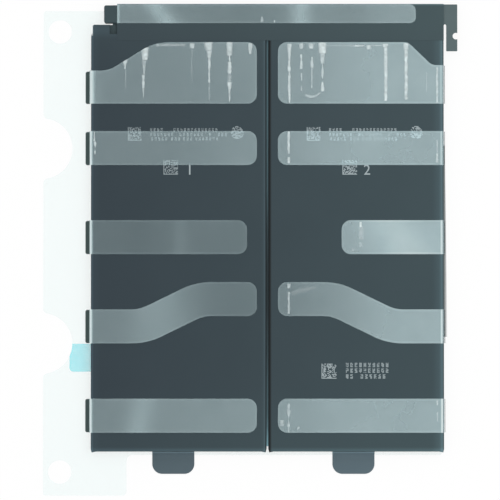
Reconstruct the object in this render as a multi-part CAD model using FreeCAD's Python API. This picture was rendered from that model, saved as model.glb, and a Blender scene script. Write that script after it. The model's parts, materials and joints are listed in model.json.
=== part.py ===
import FreeCAD, Part
import math
import os

# Two-cell tablet battery, lying adhesive side up on its carrier liner. Millimetres.
# X runs across the two cells, Y along them towards the board, Z up from the liner's underside.
# The origin is below the gap between the cells, half way along their bodies.

# Pouch cells
CELL_WIDTH = 52.72
CELL_LENGTH = 125.0
CELL_THICKNESS = 3.3
CELL_GAP = 0.5
CUP_CORNER_RADIUS = 1.0
CUP_EDGE_RADIUS = 0.9
FACE_EDGE_RADIUS = 0.6
SEAL_THICKNESS = 0.3
SEAL_STOP = 0.7
SEAL_END_SLANT = 1.0
SEAL_LOWER_TIP = 0.25
SEAL_OUTER_RISE = 0.6
TERRACE_LENGTH = 3.15
TERRACE_THICKNESS = 0.3
TERRACE_INSET = 0.5
TERRACE_CORNER_RADIUS = 0.55
SHOULDER_WIDTH = 5.07
SHOULDER_NOTCH_WIDTH = 2.25
SHOULDER_NOTCH_ROOT = 0.35

# Tape that joins the cells underneath, with a web that bonds their folded seals in the gap
JOINING_TAPE_THICKNESS = 0.05
JOINING_TAPE_WIDTH = 12.0
JOINING_TAPE_TOP_MARGIN = 1.5
JOINING_TAPE_LOWER_MARGIN = 1.6
JOINING_TAPE_CORNER_RADIUS = 1.0
JOINING_WEB_DROP = 0.7

# Carrier liner
LINER_THICKNESS = 0.15
LINER_LEFT_MARGIN = 14.43
LINER_RIGHT_INSET = 0.55
LINER_TOP_MARGIN = 7.55
LINER_LOWER_MARGIN = 1.1
LINER_FOOT_LENGTH = 13.3
LINER_FOOT_WIDTH = 25.1
LINER_CORNER_RADIUS = 0.9
LINER_FOOT_RADIUS = 1.2
LINER_FOOT_FILLET = 1.8
LOCATING_HOLE_RADIUS = 3.5
LOCATING_HOLE_INSET = 5.0
UPPER_HOLE_DROP = 6.3
LOWER_HOLE_RISE = 7.1
SCALLOP_RADIUS = 9.1
SCALLOP_OFFSET = 0.35
SCALLOP_SPACING = 58.62
SCALLOP_MOUTH_RADIUS = 1.4
LINER_TAB_THICKNESS = 0.06
LINER_TAB_REACH = 6.53
LINER_TAB_WIDTH = 8.4
LINER_TAB_CORNER_RADIUS = 1.2
LINER_TAB_CLEARANCE = 0.1

# Stretch-release adhesive strips and their pull tabs
STRIP_THICKNESS = 0.15
STRIP_WIDTH = 10.2
STRIP_CORNER_RADIUS = 2.8
STRIP_INNER_MARGIN = 2.9
STRIP_LEG_DROP = 1.6
LEFT_STRIP_STAND_OFF = 0.3
RIGHT_STRIP_STAND_OFF = 0.13
ROW_2_FROM_BOARD_END = 33.95
ROW_5_FROM_FREE_END = 10.75
LEFT_ROW_3_INNER_MARGIN = 5.85
RIGHT_ROW_3_INNER_MARGIN = 22.0
PAD_HEIGHT = 18.5
PAD_FILM_GAP = 0.5
LEFT_PAD_RISE = 8.55
LEFT_PAD_EASE_START = 5.3
LEFT_PAD_EASE_RUN = 13.8
LEFT_PAD_LOWER_RADIUS = 8.4
LEFT_PAD_UPPER_RADIUS = 15.0
RIGHT_PAD_RISE = 6.9
RIGHT_PAD_EASE_START = 3.57
RIGHT_PAD_EASE_RUN = 7.2
RIGHT_PAD_EASE_RADIUS = 3.0
ROW_4_RISE = 8.2
ROW_4_EASE_START = 15.84
ROW_4_EASE_RUN = 16.85
ROW_4_EASE_RADIUS = 15.5
PULL_TAB_THICKNESS = 0.1
PULL_TAB_LAP = 0.7
PULL_TAB_FOOT = 1.3
PULL_TAB_BEND_RADIUS = 0.5
PULL_TAB_CORNER_RADIUS = 0.6
PULL_TAB_SIDE_INSET = 0.1
PULL_TAB_LIFT = 0.3

# Tape along the right cell's folded seal
SIDE_TAPE_THICKNESS = 0.05
SIDE_TAPE_HEIGHT = 1.4
SIDE_TAPE_TOP_FROM_BOARD_END = 33.0
SIDE_TAPE_LENGTH = 57.6
SIDE_TAPE_TOP_FOOT = 0.45
SIDE_TAPE_LOWER_FOOT = 1.15
SIDE_TAPE_BEND_RADIUS = 0.15

# Lift tabs on the cells' free ends
LIFT_TAB_THICKNESS = 0.15
LIFT_TAB_WIDTH = 12.65
LIFT_TAB_REACH = 6.75
LIFT_TAB_HEIGHT = 2.2
LIFT_TAB_CORNER_RADIUS = 3.0
LIFT_TAB_BEND_RADIUS = 0.4
LEFT_LIFT_TAB_SHIFT = -1.64
RIGHT_LIFT_TAB_SHIFT = -0.76

# Moulded board cover
BAR_GAP = 0.53
BAR_DEPTH = 5.33
BAR_LEFT_INSET = 3.9
BAR_RIGHT_INSET = 0.57
BAR_CORNER_RADIUS = 0.6
BAR_TOP_EDGE_RADIUS = 0.25
COVER_WALL = 0.5
LEDGE_WIDTH = 0.4
SHELF_CLEARANCE = 0.25
RIB_THICKNESS = 0.6
RIB_COUNT = 8
NOTCH_DEPTH = 0.9
CHANNEL_INSET = 0.9

# Wrap film over the board, and the adhesive strip on it
FILM_THICKNESS = 0.06
FILM_LAP_ON_CELLS = 1.6
FILM_LAP_ON_BLOCK = 0.4
FILM_STAND_OFF = 0.36
FILM_BEND_RADIUS = 0.1
FILM_DROP = 2.2
BOARD_STRIP_LENGTH = 89.75
BOARD_STRIP_WIDTH = 5.65
BOARD_STRIP_CORNER_RADIUS = 1.8

# Protection board with its connector arm
BOARD_THICKNESS = 0.6
BOARD_CLEARANCE = 0.1
ROOT_OVERREACH = 0.27
ARM_GAP = 0.78
ARM_WIDTH = 3.32
ARM_LENGTH = 8.1
ARM_CORNER_RADIUS = 0.2
SLOT_RADIUS = 0.38
SLOT_RISE = 0.15
SCREW_NOTCH_RADIUS = 1.0
SCREW_NOTCH_INSET = 0.4
SCREW_NOTCH_RISE = 4.55

# Cell leads, sealed into the terraces
LEAD_WIDTH = 6.0
LEAD_THICKNESS = 0.1
LEAD_SPREAD = 9.0
LEAD_ON_BOARD = 3.6
LEAD_CORNER_RADIUS = 0.5
LEAD_SEAL_FILM = 0.05
LEAD_SEAL_OVERHANG = 1.0
LEAD_SEAL_DEPTH = 2.3
LEAD_SEAL_PROJECTION = 0.33

# Components under the board: length, width, height, and distance from the board's left end
GAUGE_SIZE = (5.0, 3.0, 0.8)
GAUGE_FROM_LEFT = 50.5
FET_SIZE = (3.3, 3.0, 0.75)
FETS_FROM_LEFT = 63.5
FET_PITCH = 5.0
FET_COUNT = 2
RESISTOR_SIZE = (3.2, 1.6, 0.55)
RESISTOR_FROM_LEFT = 75.5
CAPACITOR_SIZE = (1.0, 0.5, 0.5)
CAPACITORS_FROM_LEFT = 32.5
CAPACITOR_PITCH = 1.8
CAPACITOR_COUNT = 7
THERMISTOR_SIZE = (1.6, 0.8, 0.6)
THERMISTOR_FROM_LEFT = 16.5
PAD_CONTACT_SIZE = (1.4, 0.6, 0.04)
PAD_CONTACT_INSET = 0.45
PAD_CONTACT_PITCH = 1.05
PAD_CONTACT_COUNT = 7
PAD_CONTACT_START = 0.9

# Two points closer than this are one
SAME_PLACE = 1e-4

# Places that several pieces share
pack_half = CELL_GAP / 2 + CELL_WIDTH
cell_centre = CELL_GAP / 2 + CELL_WIDTH / 2
body_end = CELL_LENGTH / 2
liner_top = LINER_THICKNESS
cell_floor = liner_top + JOINING_TAPE_THICKNESS
face = cell_floor + CELL_THICKNESS
sky = face * 2
terrace_end = body_end + TERRACE_LENGTH
terrace_floor = face - TERRACE_THICKNESS
lead_floor = terrace_floor + (TERRACE_THICKNESS - LEAD_THICKNESS) / 2
lead_top = lead_floor + LEAD_THICKNESS
board_floor = lead_floor - BOARD_THICKNESS
bar_front = terrace_end + BAR_GAP
bar_back = bar_front + BAR_DEPTH
bar_left = BAR_LEFT_INSET - pack_half
bar_right = pack_half - BAR_RIGHT_INSET
shoulder_right = TERRACE_INSET + SHOULDER_WIDTH - pack_half
channel_left = shoulder_right + CHANNEL_INSET
film_left = shoulder_right + SHOULDER_NOTCH_WIDTH
film_front = body_end - FILM_LAP_ON_CELLS
film_back = bar_back + FILM_STAND_OFF
block_right = film_left + FILM_LAP_ON_BLOCK
board_left = block_right + BOARD_CLEARANCE
board_front = bar_front + BOARD_CLEARANCE
board_back = bar_back - COVER_WALL - BOARD_CLEARANCE
board_middle = (board_front + board_back) / 2
arm_left = pack_half + ARM_GAP
arm_right = arm_left + ARM_WIDTH
slot_left = arm_left - 2 * SLOT_RADIUS
slot_top = terrace_end + SLOT_RISE
arm_end = slot_top - ARM_LENGTH
liner_left = -pack_half - LINER_LEFT_MARGIN
liner_upper = body_end + LINER_TOP_MARGIN
liner_lower = -body_end - LINER_FOOT_LENGTH
row_2 = body_end - ROW_2_FROM_BOARD_END
row_5 = ROW_5_FROM_FREE_END - body_end
row_pitch = (row_2 - row_5) / 3
row_3 = row_2 - row_pitch
row_4 = row_3 - row_pitch
scallop_x = liner_left - SCALLOP_OFFSET
scallop_rows = (row_2, row_2 - SCALLOP_SPACING)


def point(across, along):
    """A point of a flat outline."""
    return FreeCAD.Vector(across, along, 0)


def corner_points(before, corner, after, radius):
    """The point of a sharp corner, or the start, middle and end of its rounding arc."""
    if radius == 0:
        return [corner]
    back = (before - corner).normalize()
    ahead = (after - corner).normalize()
    half_angle = back.getAngle(ahead) / 2
    reach = radius / math.tan(half_angle)
    inward = (back + ahead).normalize()
    middle = corner + inward * (radius / math.sin(half_angle) - radius)
    return [corner + back * reach, middle, corner + ahead * reach]


def outline_face(corners, place):
    """Flat face from (across, along, radius) corners: straight runs joined by tangent arcs."""
    points = [point(across, along) for across, along, radius in corners]
    runs = []
    for index, corner in enumerate(points):
        after = points[(index + 1) % len(points)]
        runs.append(corner_points(points[index - 1], corner, after, corners[index][2]))
    edges = []
    for index, run in enumerate(runs):
        start = runs[index - 1][-1]
        if start.distanceToPoint(run[0]) > SAME_PLACE:
            edges.append(Part.LineSegment(place(start), place(run[0])).toShape())
        if len(run) > 1:
            edges.append(Part.Arc(*[place(stop) for stop in run]).toShape())
    return Part.Face(Part.Wire(edges))


def plan_solid(corners, floor, top):
    """Solid with an outline in plan, from one height to another."""
    base = outline_face(corners, lambda stop: FreeCAD.Vector(stop.x, stop.y, floor))
    return base.extrude(FreeCAD.Vector(0, 0, top - floor))


def cross_solid(corners, front, back):
    """Solid with an outline in X and Z, from one Y to another."""
    base = outline_face(corners, lambda stop: FreeCAD.Vector(stop.x, front, stop.y))
    return base.extrude(FreeCAD.Vector(0, back - front, 0))


def long_solid(corners, left, right):
    """Solid with an outline in Y and Z, from one X to another."""
    base = outline_face(corners, lambda stop: FreeCAD.Vector(left, stop.x, stop.y))
    return base.extrude(FreeCAD.Vector(right - left, 0, 0))


def rectangle(left, front, right, back, radius=0):
    """Corners of a rectangle, all rounded alike."""
    return [(left, front, radius), (right, front, radius), (right, back, radius), (left, back, radius)]


def ribbon(path, thickness, bend_radius):
    """Corners of a bent sheet's section: it lies on the left of its path, with round bends."""
    points = [point(across, along) for across, along in path]
    steps = [(end - start).normalize() for start, end in zip(points, points[1:])]
    near = []
    far = []
    for index, stop in enumerate(points):
        arriving = steps[max(index - 1, 0)]
        leaving = steps[min(index, len(steps) - 1)]
        sideways = point(-arriving.y - leaving.y, arriving.x + leaving.x)
        offset = stop + sideways * (2 * thickness / sideways.dot(sideways))
        turn = arriving.x * leaving.y - arriving.y * leaving.x
        near_radius = 0
        far_radius = 0
        if turn > SAME_PLACE:
            near_radius = bend_radius + thickness
            far_radius = bend_radius
        elif turn < -SAME_PLACE:
            near_radius = bend_radius
            far_radius = bend_radius + thickness
        near.append((stop.x, stop.y, near_radius))
        far.append((offset.x, offset.y, far_radius))
    return near + far[::-1]


def mirrored(corners, side):
    """Corners given as distance in from the pack's outer side, put on the left (-1) or right (1)."""
    return [(side * (pack_half - inward), other, radius) for inward, other, radius in corners]


def upright_cylinder(x, y, radius):
    """A cylinder through every layer of the pack."""
    return Part.makeCylinder(radius, 2 * sky, FreeCAD.Vector(x, y, -sky))


def edges_at_height(shape, height):
    """Edges that lie flat at one height."""
    return [edge for edge in shape.Edges
            if max(abs(vertex.Z - height) for vertex in edge.Vertexes) < SAME_PLACE]


def upright_edges_at(shape, x, y):
    """Upright edges over one place in plan."""
    return [edge for edge in shape.Edges
            if max(math.hypot(vertex.X - x, vertex.Y - y) for vertex in edge.Vertexes) < SAME_PLACE]


def folded_seal(centre, side):
    """A pouch's long seal: bent down at the face, laid along the cup's wall, cut slantwise at its ends."""
    reach = 2 * FACE_EDGE_RADIUS
    lower = -body_end - SEAL_LOWER_TIP
    upper = body_end
    if centre * side > 0:
        upper += SEAL_OUTER_RISE
    section = ribbon([(SEAL_THICKNESS, cell_floor + SEAL_STOP),
                      (SEAL_THICKNESS, face - SEAL_THICKNESS),
                      (SEAL_THICKNESS + reach, face - SEAL_THICKNESS)],
                     SEAL_THICKNESS, FACE_EDGE_RADIUS - SEAL_THICKNESS)
    trim = [(0, upper - SEAL_END_SLANT, 0),
            (SEAL_THICKNESS, upper, 0),
            (SEAL_THICKNESS, body_end, 0),
            (SEAL_THICKNESS + reach, body_end - CUP_CORNER_RADIUS, 0),
            (SEAL_THICKNESS + reach, -body_end, 0),
            (SEAL_THICKNESS, lower, 0),
            (0, lower + SEAL_END_SLANT, 0)]

    def across(corners):
        return [(centre + side * (CELL_WIDTH / 2 - inward), other, radius)
                for inward, other, radius in corners]

    sheet = cross_solid(across(section), lower, upper)
    return sheet.common(plan_solid(across(trim), 0, sky))


def lead_places():
    """Middle X of each lead, from left to right, with its cell's side and its terminal's name."""
    places = []
    for side, cell in ((-1, "left"), (1, "right")):
        for direction, terminal in ((-1, "positive"), (1, "negative")):
            places.append((side * cell_centre + direction * LEAD_SPREAD, cell, terminal))
    return places


def lead_solid(x):
    """Flat metal lead from inside the terrace to its weld on the board."""
    outline = rectangle(x - LEAD_WIDTH / 2, terrace_end - LEAD_SEAL_DEPTH,
                        x + LEAD_WIDTH / 2, board_front + LEAD_ON_BOARD, LEAD_CORNER_RADIUS)
    return plan_solid(outline, lead_floor, lead_top)


def lead_seal_block(x):
    """Outer form of the polymer film that seals a lead into its terrace."""
    half = LEAD_WIDTH / 2 + LEAD_SEAL_OVERHANG
    outline = rectangle(x - half, terrace_end - LEAD_SEAL_DEPTH,
                        x + half, terrace_end + LEAD_SEAL_PROJECTION)
    return plan_solid(outline, lead_floor - LEAD_SEAL_FILM, lead_top + LEAD_SEAL_FILM)


def shoulder_notch():
    """Cut in the left terrace, between its corner shoulder and the wrap film."""
    outline = rectangle(shoulder_right, body_end + SHOULDER_NOTCH_ROOT, film_left, bar_front)
    return plan_solid(outline, 0, sky)


def pouch_cell(side):
    """One sealed pouch: drawn cup, flat face sheet, folded long seals and lead terrace."""
    centre = side * cell_centre
    cup_half = CELL_WIDTH / 2 - SEAL_THICKNESS
    cup = plan_solid(rectangle(centre - cup_half, -body_end, centre + cup_half, body_end,
                               CUP_CORNER_RADIUS), cell_floor, face)
    cup = cup.makeFillet(CUP_EDGE_RADIUS, edges_at_height(cup, cell_floor))
    cup = cup.makeFillet(FACE_EDGE_RADIUS, edges_at_height(cup, face))
    terrace_half = CELL_WIDTH / 2 - TERRACE_INSET
    terrace_start = body_end - 2 * FACE_EDGE_RADIUS
    terrace = plan_solid([(centre - terrace_half, terrace_start, 0),
                          (centre + terrace_half, terrace_start, 0),
                          (centre + terrace_half, terrace_end, TERRACE_CORNER_RADIUS),
                          (centre - terrace_half, terrace_end, TERRACE_CORNER_RADIUS)],
                         terrace_floor, face)
    cell = cup.fuse([terrace, folded_seal(centre, -1), folded_seal(centre, 1)]).removeSplitter()
    pockets = [lead_seal_block(x) for x, cell_name, terminal in lead_places() if x * side > 0]
    if side < 0:
        pockets.append(shoulder_notch())
    return cell.cut(pockets)


def joining_tape():
    """Tape from one cell's underside to the other's, with a web between their folded seals."""
    lower = JOINING_TAPE_LOWER_MARGIN - body_end
    upper = body_end - JOINING_TAPE_TOP_MARGIN
    tape = plan_solid(rectangle(-JOINING_TAPE_WIDTH / 2, lower, JOINING_TAPE_WIDTH / 2, upper,
                                JOINING_TAPE_CORNER_RADIUS), liner_top, cell_floor)
    web = plan_solid(rectangle(-CELL_GAP / 2, lower, CELL_GAP / 2, upper),
                     cell_floor, face - JOINING_WEB_DROP)
    return tape.fuse(web).removeSplitter()


def carrier_liner():
    """Release liner with a margin on the left: foot, locating holes and finger scallops."""
    right = pack_half - LINER_RIGHT_INSET
    lower = -body_end - LINER_LOWER_MARGIN
    foot_right = liner_left + LINER_FOOT_WIDTH
    liner = plan_solid([(liner_left, liner_lower, LINER_CORNER_RADIUS),
                        (foot_right, liner_lower, LINER_FOOT_RADIUS),
                        (foot_right, lower, LINER_FOOT_FILLET),
                        (right, lower, LINER_CORNER_RADIUS),
                        (right, liner_upper, LINER_CORNER_RADIUS),
                        (liner_left, liner_upper, LINER_CORNER_RADIUS)], 0, liner_top)
    hole_x = liner_left + LOCATING_HOLE_INSET
    liner = liner.cut([upright_cylinder(hole_x, liner_upper - UPPER_HOLE_DROP, LOCATING_HOLE_RADIUS),
                       upright_cylinder(hole_x, liner_lower + LOWER_HOLE_RISE, LOCATING_HOLE_RADIUS)])
    liner = liner.cut([upright_cylinder(scallop_x, row, SCALLOP_RADIUS) for row in scallop_rows])
    half_mouth = math.sqrt(SCALLOP_RADIUS ** 2 - SCALLOP_OFFSET ** 2)
    mouths = []
    for row in scallop_rows:
        mouths += upright_edges_at(liner, liner_left, row + half_mouth)
        mouths += upright_edges_at(liner, liner_left, row - half_mouth)
    return liner.makeFillet(SCALLOP_MOUTH_RADIUS, mouths)


def liner_pull_tab():
    """Tinted tab on the liner's margin, trimmed along the lower finger scallop."""
    top = row_4 - STRIP_WIDTH / 2 - LINER_TAB_CLEARANCE
    lower = top - LINER_TAB_WIDTH
    left = -pack_half - LINER_TAB_REACH
    right = -pack_half - LINER_TAB_CLEARANCE
    tab = plan_solid([(left, lower, LINER_TAB_CORNER_RADIUS),
                      (right, lower, 0),
                      (right, top, 0),
                      (left, top, 0)], liner_top, liner_top + LINER_TAB_THICKNESS)
    return tab.cut(upright_cylinder(scallop_x, scallop_rows[1], SCALLOP_RADIUS))


def straight_strip(row, inner_margin):
    """Die-cut outline of a straight strip: height at the outer end, and corners."""
    lower = row - STRIP_WIDTH / 2
    upper = row + STRIP_WIDTH / 2
    inner = CELL_WIDTH - inner_margin
    corners = [(inner, lower, STRIP_CORNER_RADIUS), (inner, upper, STRIP_CORNER_RADIUS)]
    return lower, upper, corners


def stepped_strip():
    """Die-cut outline of the fourth row, which eases up towards the gap and keeps its width on the way."""
    half = STRIP_WIDTH / 2
    lower = row_4 - half
    upper = row_4 + half
    inner = CELL_WIDTH - STRIP_INNER_MARGIN
    ease_end = ROW_4_EASE_START + ROW_4_EASE_RUN
    aside = half * math.tan(math.atan2(ROW_4_RISE, ROW_4_EASE_RUN) / 2)
    wide = ROW_4_EASE_RADIUS + half
    tight = ROW_4_EASE_RADIUS - half
    corners = [(ROW_4_EASE_START + aside, lower, wide),
               (ease_end + aside, lower + ROW_4_RISE, tight),
               (inner, lower + ROW_4_RISE, STRIP_CORNER_RADIUS),
               (inner, upper + ROW_4_RISE, STRIP_CORNER_RADIUS),
               (ease_end - aside, upper + ROW_4_RISE, wide),
               (ROW_4_EASE_START - aside, upper, tight)]
    return lower, upper, corners


def pad_strip(rise, ease_start, ease_run, lower_radius, upper_radius):
    """Die-cut outline of the wide first row, whose top edge eases up towards the gap."""
    upper = film_front - PAD_FILM_GAP
    lower = upper - PAD_HEIGHT
    inner = CELL_WIDTH - STRIP_INNER_MARGIN
    corners = [(inner, lower, STRIP_CORNER_RADIUS),
               (inner, upper, STRIP_CORNER_RADIUS),
               (ease_start + ease_run, upper, upper_radius),
               (ease_start, upper - rise, lower_radius)]
    return lower, upper - rise, corners


def strip_outlines(side):
    """Outlines of one cell's five strips, from the board end to the free end."""
    if side < 0:
        pad = pad_strip(LEFT_PAD_RISE, LEFT_PAD_EASE_START, LEFT_PAD_EASE_RUN,
                        LEFT_PAD_LOWER_RADIUS, LEFT_PAD_UPPER_RADIUS)
        row_3_margin = LEFT_ROW_3_INNER_MARGIN
    else:
        pad = pad_strip(RIGHT_PAD_RISE, RIGHT_PAD_EASE_START, RIGHT_PAD_EASE_RUN,
                        RIGHT_PAD_EASE_RADIUS, RIGHT_PAD_EASE_RADIUS)
        row_3_margin = RIGHT_ROW_3_INNER_MARGIN
    return [pad,
            straight_strip(row_2, STRIP_INNER_MARGIN),
            straight_strip(row_3, row_3_margin),
            stepped_strip(),
            straight_strip(row_5, STRIP_INNER_MARGIN)]


def adhesive_strip(side, stand_off, lower, upper, corners):
    """Clear film strip on the face, bent over the cell's outer edge to its pull tab."""
    leg = -stand_off
    section = ribbon([(leg, face - STRIP_LEG_DROP), (leg, face), (CELL_WIDTH, face)],
                     STRIP_THICKNESS, FACE_EDGE_RADIUS)
    outside = leg - 2 * STRIP_THICKNESS
    outline = [(outside, lower, 0)] + corners + [(outside, upper, 0)]
    sheet = cross_solid(mirrored(section, side), -terrace_end, terrace_end)
    return sheet.common(plan_solid(mirrored(outline, side), 0, sky))


def pull_tab(side, stand_off, lower, upper):
    """Black film that laps the strip's leg: flared over the liner on the left, straight on the right."""
    wall = -stand_off - STRIP_THICKNESS
    top = face - STRIP_LEG_DROP + PULL_TAB_LAP
    if side < 0:
        path = [(wall - PULL_TAB_FOOT, liner_top), (wall, liner_top), (wall, top)]
    else:
        path = [(wall, liner_top + PULL_TAB_LIFT), (wall, top)]
    section = ribbon(path, PULL_TAB_THICKNESS, PULL_TAB_BEND_RADIUS)
    outer = wall - PULL_TAB_FOOT
    low_end = lower + PULL_TAB_SIDE_INSET
    high_end = upper - PULL_TAB_SIDE_INSET
    outline = [(outer, low_end, PULL_TAB_CORNER_RADIUS),
               (0, low_end, 0),
               (0, high_end, 0),
               (outer, high_end, PULL_TAB_CORNER_RADIUS)]
    sheet = cross_solid(mirrored(section, side), -terrace_end, terrace_end)
    return sheet.common(plan_solid(mirrored(outline, side), 0, sky))


def side_fold_tape():
    """Dark tape on the right cell's outer seal, its lower edge flaring out towards the free end."""
    section = ribbon([(-SIDE_TAPE_LOWER_FOOT, liner_top), (0, liner_top),
                      (0, liner_top + SIDE_TAPE_HEIGHT)],
                     SIDE_TAPE_THICKNESS, SIDE_TAPE_BEND_RADIUS)
    upper = body_end - SIDE_TAPE_TOP_FROM_BOARD_END
    lower = upper - SIDE_TAPE_LENGTH
    outline = [(-SIDE_TAPE_LOWER_FOOT, lower, 0), (0, lower, 0), (0, upper, 0),
               (-SIDE_TAPE_TOP_FOOT, upper, 0)]
    sheet = cross_solid(mirrored(section, 1), lower, upper)
    return sheet.common(plan_solid(mirrored(outline, 1), 0, sky))


def lift_tab(middle):
    """Grey film tab bonded to a cell's end wall and turned out flat over the liner's edge."""
    tip = -body_end - LIFT_TAB_REACH
    section = ribbon([(tip, liner_top), (-body_end, liner_top), (-body_end, liner_top + LIFT_TAB_HEIGHT)],
                     LIFT_TAB_THICKNESS, LIFT_TAB_BEND_RADIUS)
    left = middle - LIFT_TAB_WIDTH / 2
    right = middle + LIFT_TAB_WIDTH / 2
    outline = [(left, tip, LIFT_TAB_CORNER_RADIUS), (right, tip, LIFT_TAB_CORNER_RADIUS),
               (right, -body_end, 0), (left, -body_end, 0)]
    return long_solid(section, left, right).common(plan_solid(outline, 0, sky))


def cover_channel():
    """The cover's long section: back wall, floor, front wall and the shelf under the terraces."""
    back_inner = bar_back - COVER_WALL
    wall_front = bar_front - COVER_WALL
    floor_top = cell_floor + COVER_WALL
    shelf_front = body_end + SHELF_CLEARANCE
    shelf_floor = terrace_floor - COVER_WALL
    section = [(bar_back, cell_floor, 0), (bar_back, face, 0),
               (back_inner, face, 0), (back_inner, board_floor, 0),
               (back_inner - LEDGE_WIDTH, board_floor, 0), (back_inner - LEDGE_WIDTH, floor_top, 0),
               (bar_front + LEDGE_WIDTH, floor_top, 0), (bar_front + LEDGE_WIDTH, board_floor, 0),
               (bar_front, board_floor, 0), (bar_front, terrace_floor, 0),
               (shelf_front, terrace_floor, 0), (shelf_front, shelf_floor, 0),
               (wall_front, shelf_floor, 0), (wall_front, cell_floor, 0)]
    return long_solid(section, channel_left, bar_right)


def cover_rib(x):
    """Triangular gusset between the shelf and the front wall."""
    wall_front = bar_front - COVER_WALL
    shelf_floor = terrace_floor - COVER_WALL
    section = [(body_end + SHELF_CLEARANCE, shelf_floor, 0), (wall_front, shelf_floor, 0),
               (wall_front, cell_floor + COVER_WALL, 0)]
    return long_solid(section, x - RIB_THICKNESS / 2, x + RIB_THICKNESS / 2)


def notch_socket():
    """Walls and floor of the socket under the shoulder notch, closed in front by the cell's end wall."""
    left = shoulder_right - COVER_WALL
    right = film_left + COVER_WALL
    front = body_end + SHELF_CLEARANCE
    outline = [(left, front, 0), (right, front, 0), (right, bar_front, 0),
               (channel_left, bar_front, 0), (channel_left, terrace_end, 0), (left, terrace_end, 0)]
    return plan_solid(outline, cell_floor, terrace_floor)


def notch_hollow():
    """The room inside that socket, open at the top and at the front."""
    outline = rectangle(shoulder_right, body_end, film_left, bar_front)
    return plan_solid(outline, face - NOTCH_DEPTH, sky)


def board_cover():
    """Moulded cover: channel for the board, solid left end block with a socket, ribs and right end wall."""
    block = plan_solid([(bar_left, bar_front, BAR_CORNER_RADIUS), (block_right, bar_front, 0),
                        (block_right, bar_back, 0), (bar_left, bar_back, BAR_CORNER_RADIUS)],
                       cell_floor, face)
    block = block.makeFillet(BAR_TOP_EDGE_RADIUS, [edge for edge in edges_at_height(block, face)
                                                   if edge.BoundBox.XMin < block_right - SAME_PLACE])
    end_wall = plan_solid(rectangle(bar_right - COVER_WALL, bar_front, bar_right, bar_back - COVER_WALL),
                          cell_floor, board_floor)
    last_rib = bar_right - RIB_THICKNESS / 2
    rib_step = (last_rib - film_left) / RIB_COUNT
    ribs = [cover_rib(last_rib - rib_step * index) for index in range(RIB_COUNT)]
    cover = cover_channel().fuse([notch_socket(), end_wall] + ribs).cut(notch_hollow())
    return cover.fuse(block).removeSplitter()


def board_wrap_film():
    """Film over the board, the leads and the cells' board ends, turned down at the back."""
    section = ribbon([(film_front, face), (film_back, face), (film_back, face - FILM_DROP)],
                     FILM_THICKNESS, FILM_BEND_RADIUS)
    return long_solid(section, film_left, slot_left)


def board_adhesive_strip():
    """Clear adhesive strip on the wrap film: square at the left, round at the right."""
    back = film_back - FILM_BEND_RADIUS
    front = back - BOARD_STRIP_WIDTH
    right = film_left + BOARD_STRIP_LENGTH
    outline = [(film_left, front, 0), (right, front, BOARD_STRIP_CORNER_RADIUS),
               (right, back, BOARD_STRIP_CORNER_RADIUS), (film_left, back, 0)]
    floor = face + FILM_THICKNESS
    return plan_solid(outline, floor, floor + STRIP_THICKNESS)


def protection_board():
    """Circuit board: bar in the cover, and an arm with a screw notch beside the right cell."""
    root_left = bar_right + BOARD_CLEARANCE
    root_back = bar_back + ROOT_OVERREACH
    board = plan_solid([(board_left, board_front, 0),
                        (root_left, board_front, 0),
                        (root_left, slot_top - SLOT_RADIUS, 0),
                        (slot_left, slot_top - SLOT_RADIUS, 0),
                        (slot_left, slot_top, SLOT_RADIUS),
                        (arm_left, slot_top, SLOT_RADIUS),
                        (arm_left, arm_end, ARM_CORNER_RADIUS),
                        (arm_right, arm_end, ARM_CORNER_RADIUS),
                        (arm_right, root_back, ARM_CORNER_RADIUS),
                        (root_left, root_back, 0),
                        (root_left, board_back, 0),
                        (board_left, board_back, 0)], board_floor, lead_floor)
    return board.cut(upright_cylinder(arm_right - SCREW_NOTCH_INSET, arm_end + SCREW_NOTCH_RISE,
                                      SCREW_NOTCH_RADIUS))


def under_board(x, y, size):
    """A component that hangs from the board's underside."""
    length, width, height = size
    outline = rectangle(x - length / 2, y - width / 2, x + length / 2, y + width / 2)
    return plan_solid(outline, board_floor - height, board_floor)


def component_row(from_left, pitch, count, size):
    """Like components in a row along the board."""
    start = board_left + from_left
    return Part.makeCompound([under_board(start + pitch * index, board_middle, size)
                              for index in range(count)])


def contact_pads():
    """Gilt contacts under the connector arm."""
    middle = arm_left + PAD_CONTACT_INSET + PAD_CONTACT_SIZE[0] / 2
    start = arm_end + PAD_CONTACT_START
    return Part.makeCompound([under_board(middle, start + PAD_CONTACT_PITCH * index, PAD_CONTACT_SIZE)
                              for index in range(PAD_CONTACT_COUNT)])


def lead_nodes():
    """The four leads and the seal film around each."""
    nodes = {}
    for x, cell, terminal in lead_places():
        lead = lead_solid(x)
        nodes[f"{cell}_{terminal}_lead"] = lead
        nodes[f"{cell}_{terminal}_lead_seal"] = lead_seal_block(x).cut(lead)
    return nodes


def strip_nodes():
    """The ten strips and their pull tabs."""
    nodes = {}
    for side, name, stand_off in ((-1, "left", LEFT_STRIP_STAND_OFF), (1, "right", RIGHT_STRIP_STAND_OFF)):
        for row, (lower, upper, corners) in enumerate(strip_outlines(side), start=1):
            nodes[f"{name}_strip_{row}"] = adhesive_strip(side, stand_off, lower, upper, corners)
            nodes[f"{name}_pull_tab_{row}"] = pull_tab(side, stand_off, lower, upper)
    return nodes


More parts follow.
